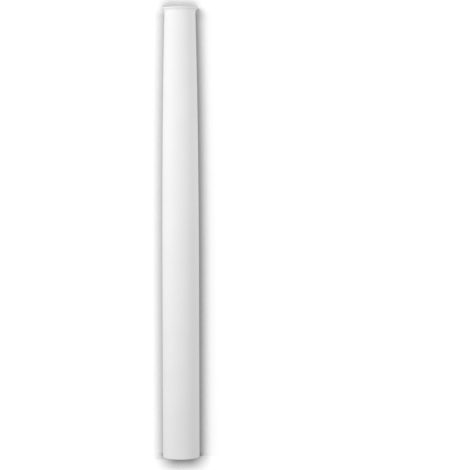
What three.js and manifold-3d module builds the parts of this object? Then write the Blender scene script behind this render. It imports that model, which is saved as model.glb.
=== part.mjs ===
// Half column shaft: a plain shaft without flutes, half round in front and flat behind, to stand against a wall.
// It is straight for its lower third, swells inwards to the neck, and ends in a thin collar below the capital.
// Millimetres, +Z up. The round front faces -Y and the flat back faces +Y.
// The origin is on the floor, in the middle of the rectangle that encloses the foot.
import * as THREE from "three";
import { mergeVertices } from "three/addons/utils/BufferGeometryUtils.js";
import Module from "manifold-3d";

// Driving dimensions
const HEIGHT = 2450;
const FOOT_DIAMETER = 200;
const NECK_DIAMETER = 168; // the narrowest place, just below the collar
const COLLAR_DIAMETER = 194;
const COLLAR_BAND = 6; // height of the collar's upright face
const CAVETTO_HEIGHT = 18; // height of the hollow that leads from the neck out to the band
const STRAIGHT_SHARE = 1 / 3; // lower share of the height that keeps the foot's diameter
const ENTASIS_POWER = 2.5; // the taper grows with this power of the height above the straight part

// Facets
const SIDES = 96; // round the whole circle
const TAPER_STEPS = 24;
const CAVETTO_STEPS = 8;
const WELD_DISTANCE = 1e-4;

// The shaft's half section as radius and height, from the middle of the foot to the middle of the top.
function shaftOutline() {
  const footRadius = FOOT_DIAMETER / 2;
  const neckRadius = NECK_DIAMETER / 2;
  const collarRadius = COLLAR_DIAMETER / 2;
  const straightTop = HEIGHT * STRAIGHT_SHARE;
  const neckHeight = HEIGHT - COLLAR_BAND - CAVETTO_HEIGHT;

  const taper = Array.from({ length: TAPER_STEPS }, (_, step) => {
    const climbed = step / TAPER_STEPS;
    const radius = footRadius - (footRadius - neckRadius) * climbed ** ENTASIS_POWER;
    return new THREE.Vector2(radius, THREE.MathUtils.lerp(straightTop, neckHeight, climbed));
  });

  // The hollow is an arc that leaves the neck upright and meets the band's lower edge.
  const overhang = collarRadius - neckRadius;
  const hollowRadius = (overhang ** 2 + CAVETTO_HEIGHT ** 2) / (2 * overhang);
  const sweep = Math.asin(CAVETTO_HEIGHT / hollowRadius);
  const cavetto = new THREE.EllipseCurve(
    neckRadius + hollowRadius,
    neckHeight,
    hollowRadius,
    hollowRadius,
    Math.PI,
    Math.PI - sweep,
    true,
  ).getPoints(CAVETTO_STEPS);

  return [
    new THREE.Vector2(0, 0),
    new THREE.Vector2(footRadius, 0),
    ...taper,
    ...cavetto,
    new THREE.Vector2(collarRadius, HEIGHT),
    new THREE.Vector2(0, HEIGHT),
  ];
}

const wasm = await Module();
wasm.setup();

// A closed geometry as a solid that can be cut.
function toSolid(geometry) {
  geometry.deleteAttribute("normal");
  geometry.deleteAttribute("uv");
  const welded = mergeVertices(geometry, WELD_DISTANCE);
  const vertProperties = welded.attributes.position.array;
  const triVerts = new Uint32Array(welded.index.array);
  return new wasm.Manifold(new wasm.Mesh({ numProp: 3, vertProperties, triVerts }));
}

function toGeometry(solid) {
  const { vertProperties, triVerts } = solid.getMesh();
  const geometry = new THREE.BufferGeometry();
  geometry.setAttribute("position", new THREE.BufferAttribute(vertProperties, 3));
  geometry.setIndex(new THREE.BufferAttribute(triVerts, 1));
  geometry.computeVertexNormals();
  return geometry;
}

// The full round shaft, upright, is cut down the middle, and the front half is kept.
function halfShaft() {
  const round = new THREE.LatheGeometry(shaftOutline(), SIDES).rotateX(Math.PI / 2);
  const towardsFront = [0, -1, 0];
  return toGeometry(toSolid(round).trimByPlane(towardsFront, 0));
}

// Rigid moulded foam with a matt white priming coat.
const primedFoam = new THREE.MeshStandardMaterial({ color: 0xededeb, roughness: 0.7, metalness: 0 });

const shaft = new THREE.Mesh(halfShaft(), primedFoam);
shaft.name = "shaft";
shaft.position.y = FOOT_DIAMETER / 4;

const halfColumn = new THREE.Group();
halfColumn.name = "half_column";
halfColumn.add(shaft);

export default halfColumn;
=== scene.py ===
import math

import bpy
import numpy as np
from mathutils import Matrix, Vector


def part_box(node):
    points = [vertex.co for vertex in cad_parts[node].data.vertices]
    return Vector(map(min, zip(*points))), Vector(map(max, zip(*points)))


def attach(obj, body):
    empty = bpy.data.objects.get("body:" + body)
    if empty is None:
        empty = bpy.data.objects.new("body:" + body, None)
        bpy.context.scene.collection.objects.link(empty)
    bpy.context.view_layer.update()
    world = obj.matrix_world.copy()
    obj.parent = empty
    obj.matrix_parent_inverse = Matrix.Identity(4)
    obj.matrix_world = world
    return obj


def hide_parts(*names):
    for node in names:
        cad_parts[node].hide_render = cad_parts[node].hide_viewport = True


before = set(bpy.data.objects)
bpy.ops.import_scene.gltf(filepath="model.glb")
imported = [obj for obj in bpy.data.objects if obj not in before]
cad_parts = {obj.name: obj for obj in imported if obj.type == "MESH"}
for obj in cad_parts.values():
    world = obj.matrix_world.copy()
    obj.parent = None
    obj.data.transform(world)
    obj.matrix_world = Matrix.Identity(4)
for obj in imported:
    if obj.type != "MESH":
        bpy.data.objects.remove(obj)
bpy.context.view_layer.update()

# The shaft
# One moulding of rigid foam, half round in front and flat behind, with a thin collar at its head. It is
# poured face down, trimmed along its back edges, cut square at both ends and sprayed with a matt white
# primer. Its back is glued to the wall, its foot stands on a base and its head carries a capital.

foot_corner, head_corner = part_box("shaft")
height = head_corner.z - foot_corner.z
foot_radius = (head_corner.x - foot_corner.x) / 2
wall_plane = head_corner.y

neck_radius = 0.084
collar_radius = 0.097
collar_band = 0.006
cavetto_height = 0.018
straight_share = 1 / 3
entasis_power = 2.5
collar_lip = 0.0008
end_arris = 0.001
back_arris = 0.0016
cap_centre = -0.42 * foot_radius  # in front of the back, near the half round's centre of area
cap_spreads = 0, 0.3, 0.6, 0.85, 0.97
ring_pitch = 0.008
hollow_points = 16
lip_points = 6
arris_points = 5


def shaft_section():
    """The shaft's rings as four arrays: radius, inset, spread and height, from the foot to the top.

    The radius keeps the foot's for the lower third, and then falls with a power of the climbed share of the
    rest. A circular hollow that leaves the neck upright leads out to the collar's band, whose lower lip is
    an arc. At both ends a quarter arc insets the ring, and a falling spread draws it together to its middle.
    """
    neck_height = height - collar_band - cavetto_height
    straight_top = height * straight_share
    straight_z = np.arange(end_arris, straight_top, ring_pitch)
    climbed = np.linspace(0, 1, round((neck_height - straight_top) / ring_pitch))
    taper_r = foot_radius - (foot_radius - neck_radius) * climbed**entasis_power
    taper_z = straight_top + (neck_height - straight_top) * climbed

    overhang = collar_radius - neck_radius
    hollow = (overhang**2 + cavetto_height**2) / (2 * overhang)
    sweep = np.arcsin(cavetto_height / hollow)
    lip_reach = collar_lip * np.tan(sweep / 2)
    turn = np.linspace(0, sweep - lip_reach / hollow, hollow_points)[1:]
    hollow_r = neck_radius + hollow * (1 - np.cos(turn))
    hollow_z = neck_height + hollow * np.sin(turn)
    turn = np.linspace(sweep, 0, lip_points)
    lip_r = collar_radius - collar_lip * (1 - np.cos(turn))
    lip_z = height - collar_band + lip_reach - collar_lip * np.sin(turn)

    turn = np.linspace(0, np.pi / 2, arris_points)
    arris_inset = end_arris * (1 - np.sin(turn))
    arris_z = end_arris * (1 - np.cos(turn))
    spread = np.array(cap_spreads)

    side_r = np.concatenate([np.full_like(straight_z[1:], foot_radius), taper_r, hollow_r, lip_r])
    side_z = np.concatenate([straight_z[1:], taper_z, hollow_z, lip_z])
    ends = len(spread) + len(turn)
    radius = np.concatenate([np.full(ends, foot_radius), side_r, np.full(ends, collar_radius)])
    end_inset = np.concatenate([np.full_like(spread, end_arris), arris_inset])
    inset = np.concatenate([end_inset, np.zeros_like(side_r), end_inset[::-1]])
    end_spread = np.concatenate([spread, np.ones_like(turn)])
    spread = np.concatenate([end_spread, np.ones_like(side_r), end_spread[::-1]])
    end_z = np.concatenate([np.zeros(len(end_spread) - len(turn)), arris_z])
    level = np.concatenate([end_z, side_z, height - end_z[::-1]])
    return radius, inset, spread, level


def half_round(radius, inset, spread, level, front_steps=96, corner_steps=5, back_steps=24):
    """Points of every ring, anticlockwise from above: front arc, right back edge, back and left back edge.

    The front is an arc about the axis, which lies in the back plane. Each back edge is a small arc that
    touches the front arc from inside and ends square on the back line. The spread draws the ring towards
    its middle.
    """
    outer = (radius - inset)[:, None]
    edge = (back_arris - inset)[:, None]
    back = -inset[:, None]
    edge_y = back - edge
    edge_x = np.sqrt((outer - edge) ** 2 - edge_y**2)
    meet = np.arctan2(edge_x, -edge_y)

    angle = meet * np.linspace(-1, 1, front_steps + 1)
    turn = meet + (np.pi - meet) * np.linspace(0, 1, corner_steps + 1)[1:]
    across = edge_x * np.cos(np.linspace(0, np.pi, back_steps + 1))[1:-1]
    x = np.hstack([
        outer * np.sin(angle),
        edge_x + edge * np.sin(turn),
        across,
        -edge_x - edge * np.sin(turn[:, ::-1]),
    ])
    y = np.hstack([
        -outer * np.cos(angle),
        edge_y - edge * np.cos(turn),
        np.broadcast_to(back, across.shape),
        edge_y - edge * np.cos(turn[:, ::-1]),
    ])
    y = cap_centre + spread[:, None] * (y - cap_centre)
    z = np.broadcast_to(level[:, None], y.shape)
    return np.stack([spread[:, None] * x, wall_plane + y, z], axis=-1)


def skin_mesh(name, rings):
    """A closed mesh over a stack of rings, whose first and last ring are single points.

    Quads join each ring to the next one, and a fan of triangles closes each end.
    """
    count, around = rings.shape[0] - 2, rings.shape[1]
    points = np.vstack([rings[0, :1], rings[1:-1].reshape(-1, 3), rings[-1, :1]])
    column = np.arange(around)
    beside = np.roll(column, -1)
    row = 1 + around * np.arange(count - 1)[:, None]
    quads = np.stack([row + column, row + beside, row + around + beside, row + around + column], axis=-1)
    top_row = 1 + around * (count - 1)
    pole = np.zeros_like(column)
    foot_fan = np.stack([pole, 1 + beside, 1 + column], axis=-1)
    head_fan = np.stack([top_row + column, top_row + beside, pole + len(points) - 1], axis=-1)
    mesh = bpy.data.meshes.new(name)
    faces = [*foot_fan.tolist(), *quads.reshape(-1, 4).tolist(), *head_fan.tolist()]
    mesh.from_pydata(points, [], faces)
    mesh.shade_smooth()
    return mesh


class Shade:
    """A socket in a node tree. Arithmetic on it adds Math nodes, and node() adds a node of any other type."""

    def __init__(self, tree, socket=None):
        self.tree = tree
        self.socket = socket

    def node(self, kind, settings=None, inputs=None, output=0):
        """Adds a node with its settings, then the values or links of its sockets, and gives one output."""
        made = self.tree.nodes.new(kind)
        for setting, value in (settings or {}).items():
            setattr(made, setting, value)
        for key, value in (inputs or {}).items():
            if isinstance(value, Shade):
                self.tree.links.new(value.socket, made.inputs[key])
            else:
                made.inputs[key].default_value = value
        return Shade(self.tree, made.outputs[output] if made.outputs else None)

    def math(self, operation, *values):
        return self.node("ShaderNodeMath", {"operation": operation}, dict(enumerate(values)))

    def fade(self, start, end):
        """0 where this value is start and 1 where it is end, smooth between them."""
        return self.node(
            "ShaderNodeMapRange",
            {"interpolation_type": "SMOOTHSTEP"},
            {"Value": self, "From Min": start, "From Max": end},
        )

    def __add__(self, other):
        return self.math("ADD", self, other)

    def __sub__(self, other):
        return self.math("SUBTRACT", self, other)

    def __rsub__(self, other):
        return self.math("SUBTRACT", other, self)

    def __mul__(self, other):
        return self.math("MULTIPLY", self, other)

    __radd__ = __add__
    __rmul__ = __mul__


def new_material(name):
    """A material with an empty node tree, and the wrapper to fill it with."""
    material = bpy.data.materials.new(name)
    material.use_nodes = True
    material.node_tree.nodes.clear()
    return material, Shade(material.node_tree)


primer_white = 0.815, 0.815, 0.813, 1
primer_shadow = 0.8, 0.8, 0.797, 1
foam_cream = 0.775, 0.758, 0.715, 1
pore_shade = 0.50, 0.475, 0.42, 1
cloud_pitch = 0.16
peel_pitch = 0.005
grain_pitch = 0.0009
pore_pitch = 0.0045
saw_scale = 20.0  # of the Wave node, about 22 mm from line to line on the ends
peel_depth = 0.00004
grain_depth = 0.000008
pore_depth = 0.0005
saw_depth = 0.00006
end_face_edges = 0.5 * end_arris, 0.1 * end_arris
back_face_edges = 0.0012, 0.00024
cloud_edges = 0.3, 0.7
foam_edges = 0.45, 0.75
foam_fray = 0.2
open_pore_edges = 0.7, 0.75
pore_rim_edges = 0.3, 0.12
primer_rough = 0.58
cloud_rough = 0.1
peel_rough = 0.06
cut_face_rough = 0.12
primer_specular = 0.3


def primed_foam():
    """White primer sprayed on moulded foam.

    Noise gives the primer faint clouds of tone, and a fine orange peel with the spray's grain on it. On the
    back and on both sawn ends, picked out by the distance from their planes, the primer is thin: cream foam
    shows through in patches, with open pores in some of the cells of a Voronoi pattern, whose darker colour
    is painted shade inside them, and on the ends with faint lines left by the saw.
    """
    material, shade = new_material("primed_foam")
    place = shade.node("ShaderNodeTexCoord", output="Object")

    def noise(pitch, detail=2.0):
        pattern = {"Vector": place, "Scale": 1 / pitch, "Detail": detail}
        return shade.node("ShaderNodeTexNoise", inputs=pattern)

    def blend(share, first, second):
        mixed = {"Factor": share, "A": first, "B": second}
        return shade.node("ShaderNodeMix", {"data_type": "RGBA"}, mixed, output="Result")

    back_gap = wall_plane - shade.node("ShaderNodeSeparateXYZ", inputs={0: place}, output="Y")
    up = shade.node("ShaderNodeSeparateXYZ", inputs={0: place}, output="Z")
    end_gap = shade.math("MINIMUM", up, height - up)
    ends = end_gap.fade(*end_face_edges)
    cut_face = shade.math("MAXIMUM", ends, back_gap.fade(*back_face_edges))

    clouds = noise(cloud_pitch, detail=3.0)
    peel = noise(peel_pitch)
    grain = noise(grain_pitch)
    pores = {"Vector": place, "Scale": 1 / pore_pitch}
    pore_gap = shade.node("ShaderNodeTexVoronoi", inputs=pores, output="Distance")
    pore_draw = shade.node("ShaderNodeTexVoronoi", inputs=pores, output="Color")
    drawn = shade.node("ShaderNodeSeparateColor", inputs={"Color": pore_draw}, output="Red")
    pore = cut_face * drawn.fade(*open_pore_edges) * pore_gap.fade(*pore_rim_edges)
    saw = shade.node(
        "ShaderNodeTexWave",
        {"wave_type": "BANDS", "bands_direction": "DIAGONAL"},
        {"Vector": place, "Scale": saw_scale, "Distortion": 3.0, "Detail": 2.0},
        output="Fac",
    )

    colour = blend(clouds.fade(*cloud_edges), primer_shadow, primer_white)
    colour = blend(cut_face * (clouds + foam_fray * peel).fade(*foam_edges), colour, foam_cream)
    # Open pores are painted darker, as shade inside them.
    colour = blend(pore, colour, pore_shade)
    rough = primer_rough + cloud_rough * clouds + peel_rough * peel + cut_face_rough * cut_face
    relief = peel_depth * peel + grain_depth * grain - pore_depth * pore + saw_depth * ends * saw
    normal = shade.node("ShaderNodeBump", inputs={"Height": relief, "Distance": 1.0})
    finish = {
        "Base Color": colour,
        "Roughness": rough,
        "Normal": normal,
        "Specular IOR Level": primer_specular,
    }
    surface = shade.node("ShaderNodeBsdfPrincipled", inputs=finish)
    shade.node("ShaderNodeOutputMaterial", inputs={"Surface": surface})
    return material


rings = half_round(*shaft_section())
shaft = bpy.data.objects.new("half_column_shaft", skin_mesh("half_column_shaft", rings))
bpy.context.collection.objects.link(shaft)
shaft.data.materials.append(primed_foam())
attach(shaft, "root")
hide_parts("shaft")

# The floor
# A plain pale studio floor, level with the shaft's foot. A soft shade is painted into its colour in front
# of the foot, a little to the right, and close beside it. It throws no light or shadow on the shaft.

floor_size = 40.0
floor_white = 0.9
front_shade = 0.75
front_shade_reach = 0.45
front_shade_power = 10
front_shade_samples = 16
front_shade_lean = 0.012
front_shade_edges = 0.03, 0.17
side_shade = 0.78
side_shade_reach = 0.07
side_shade_power = 2.0


def flat_mesh(name, corners):
    """One flat face through the corners."""
    mesh = bpy.data.meshes.new(name)
    mesh.from_pydata(corners, [], [list(range(len(corners)))])
    return mesh


def closed_air(shade, reach, power, gain=1.0, samples=4):
    """How far the shaft closes the air around a point, from 0 to 1.

    It is 1 less a power of the open share, after the closed share has been multiplied by the gain.
    """
    looked_for = {"Distance": reach}
    open_air = shade.node("ShaderNodeAmbientOcclusion", {"samples": samples}, looked_for, output="AO")
    still_open = shade.math("MAXIMUM", 1 - gain * (1 - open_air), 0.0)
    return 1 - shade.math("POWER", still_open, power)


def matt(shade, tone):
    """A surface of the grey tone given, with no gloss; on the floor and backdrop the tone holds painted
    shade.
    """
    return shade.node(
        "ShaderNodeBsdfPrincipled", inputs={"Base Color": tone, "Roughness": 1.0, "Specular IOR Level": 0.0}
    )


def back_out_of_the_light(stage_object):
    """The shaft takes no bounced light and no shadow from the object."""
    stage_object.visible_diffuse = False
    stage_object.visible_glossy = False
    stage_object.visible_shadow = False


half = floor_size / 2
corners = [(-half, -half, 0), (half, -half, 0), (half, half, 0), (-half, half, 0)]
floor = bpy.data.objects.new("floor", flat_mesh("floor", corners))
bpy.context.collection.objects.link(floor)
material, shade = new_material("floor_white")
place = shade.node("ShaderNodeTexCoord", output="Object")
across = shade.node("ShaderNodeSeparateXYZ", inputs={0: place}, output="X")
aside = shade.math("ABSOLUTE", across - front_shade_lean).fade(*front_shade_edges)
closed = closed_air(shade, front_shade_reach, front_shade_power, samples=front_shade_samples)
# Painted shade: the floor's colour darkens in front of the foot and beside it, where the shaft closes the
# air.
before = front_shade * closed * (1 - aside)
beside = side_shade * closed_air(shade, side_shade_reach, side_shade_power)
tone = floor_white * (1 - shade.math("MAXIMUM", before, beside))
shade.node("ShaderNodeOutputMaterial", inputs={"Surface": matt(shade, tone)})
floor.data.materials.append(material)
back_out_of_the_light(floor)

# The backdrop
# A plain white screen that the shaft stands against, with a soft shade painted into its colour close to
# the shaft, lighter beside the collar and above it. It is cut out behind the shaft, and it is clear seen
# from behind, so that the flat back can be looked at.

screen_half = 2.2
screen_height = 3.0
screen_gap = 0.001
screen_y = wall_plane - screen_gap
screen_white = 0.95
screen_shade_power = 2.8
foot_gain = 2.0
foot_gain_height = 0.03
collar_shade_share = 0.6
collar_shade_drop = 0.05
collar_shade_end = 0.01
head_shade_share = 0.82
side_tuck = 0.004
head_tuck = 0.002
radius, inset, spread, level = shaft_section()
side = (spread == 1) & (inset == 0)
edge_z = np.concatenate([[0], level[side], [height - head_tuck]])
edge_x = np.concatenate([[foot_radius], radius[side], [collar_radius]]) - side_tuck
outline = np.column_stack([edge_x, np.full_like(edge_x, screen_y), edge_z])
mirrored = outline * (-1, 1, 1)
outer_corners = [
    (screen_half, screen_y, 0),
    (screen_half, screen_y, screen_height),
    (-screen_half, screen_y, screen_height),
    (-screen_half, screen_y, 0),
]
corners = [*map(tuple, mirrored), *map(tuple, outline[::-1]), *outer_corners]
screen = bpy.data.objects.new("backdrop", flat_mesh("backdrop", corners))
bpy.context.collection.objects.link(screen)
material, shade = new_material("screen_white")
behind = shade.node("ShaderNodeNewGeometry", output="Backfacing")
clear = shade.node("ShaderNodeBsdfTransparent")
place = shade.node("ShaderNodeTexCoord", output="Object")
up = shade.node("ShaderNodeSeparateXYZ", inputs={0: place}, output="Z")
# Painted shade on the screen's colour beside the shaft, weaker by the collar and above the head, stronger at
# the floor.
under_collar = up.fade(height - collar_shade_drop, height - collar_shade_end)
over_collar = up.fade(height - collar_shade_end, height)
share = 1 - (1 - collar_shade_share) * under_collar + (head_shade_share - collar_shade_share) * over_collar
gain = foot_gain - (foot_gain - 1) * up.fade(0, foot_gain_height)
beside = side_shade * share * closed_air(shade, side_shade_reach, screen_shade_power, gain)
white = matt(shade, screen_white * (1 - beside))
surface = shade.node("ShaderNodeMixShader", inputs={0: behind, 1: white, 2: clear})
shade.node("ShaderNodeOutputMaterial", inputs={"Surface": surface})
screen.data.materials.append(material)
back_out_of_the_light(screen)

# The light
# Even soft light on the floor and on the backdrop, a strong soft box from the left and a weak one from the
# right for the shaft, and a pale light for its back. Only the shaft throws a shadow, and the air around
# looks white.

casters = bpy.data.collections.new("shadow_casters")
casters.objects.link(shaft)


def hang_lamp(name, light, place, aim, lit):
    """A lamp at a place, turned to what it is aimed at, that lights only the one object."""
    lamp = bpy.data.objects.new(name, light)
    lamp.location = place
    lamp.rotation_euler = (Vector(aim) - Vector(place)).to_track_quat("-Z", "Y").to_euler()
    lamp.visible_camera = False
    group = bpy.data.collections.new(name + "_falls_on")
    group.objects.link(lit)
    lamp.light_linking.receiver_collection = group
    lamp.light_linking.blocker_collection = casters
    bpy.context.collection.objects.link(lamp)


def soft_box(name, place, aim, size, watts, lit):
    """A square glowing panel, with its size in metres and its power in watts."""
    light = bpy.data.lights.new(name, "AREA")
    light.size = size
    light.energy = watts
    hang_lamp(name, light, place, aim, lit)


def soft_sun(name, place, aim, spread, strength, lit):
    """Parallel light from a disc whose spread is in degrees, with its strength in watts a square metre."""
    light = bpy.data.lights.new(name, "SUN")
    light.angle = math.radians(spread)
    light.energy = strength
    hang_lamp(name, light, place, aim, lit)


middle = (0, 0, height / 2)
soft_sun("floor_light", place=(0, 0, 8), aim=middle, spread=70, strength=1.85, lit=floor)
soft_sun("screen_light", place=(-3.9, -3.7, 2.9), aim=middle, spread=46, strength=2.3, lit=screen)
soft_box("left_box", place=(-3.0, -2.5, 2.6), aim=middle, size=1.6, watts=90, lit=shaft)
soft_box("right_box", place=(2.8, -0.9, 2.5), aim=middle, size=1.6, watts=23, lit=shaft)
soft_sun("back_light", place=(-0.4, 5.0, 3.5), aim=middle, spread=50, strength=1.2, lit=shaft)

world = bpy.data.worlds.new("studio")
world.use_nodes = True
world.node_tree.nodes.clear()
air = Shade(world.node_tree)
air_white = 1, 1, 1, 1
air_glow = 0.62
glow = air.node("ShaderNodeBackground", inputs={"Color": air_white, "Strength": air_glow})
seen = air.node("ShaderNodeBackground", inputs={"Color": air_white, "Strength": 1.0})
for_camera = air.node("ShaderNodeLightPath", output="Is Camera Ray")
surround = air.node("ShaderNodeMixShader", inputs={0: for_camera, 1: glow, 2: seen})
air.node("ShaderNodeOutputWorld", inputs={"Surface": surround})
bpy.context.scene.world = world

# The camera
# It stands nine metres back at eye height, straight in front of the shaft, and looks slightly down and to
# the right of it.

eye = Vector((0.032, -9.08, 1.61))
looked_at = Vector((0.297, wall_plane, 1.216))
roll = math.radians(-0.11)
lens = 128.2
camera = bpy.data.objects.new("camera", bpy.data.cameras.new("camera"))
camera.data.lens = lens
camera.data.sensor_width = 36.0
turned = (looked_at - eye).to_track_quat("-Z", "Y").to_matrix().to_4x4()
camera.matrix_world = Matrix.Translation(eye) @ turned @ Matrix.Rotation(roll, 4, "Z")
bpy.context.collection.objects.link(camera)
scene = bpy.context.scene
scene.camera = camera
scene.view_settings.view_transform = "Standard"
scene.cycles.use_denoising = True
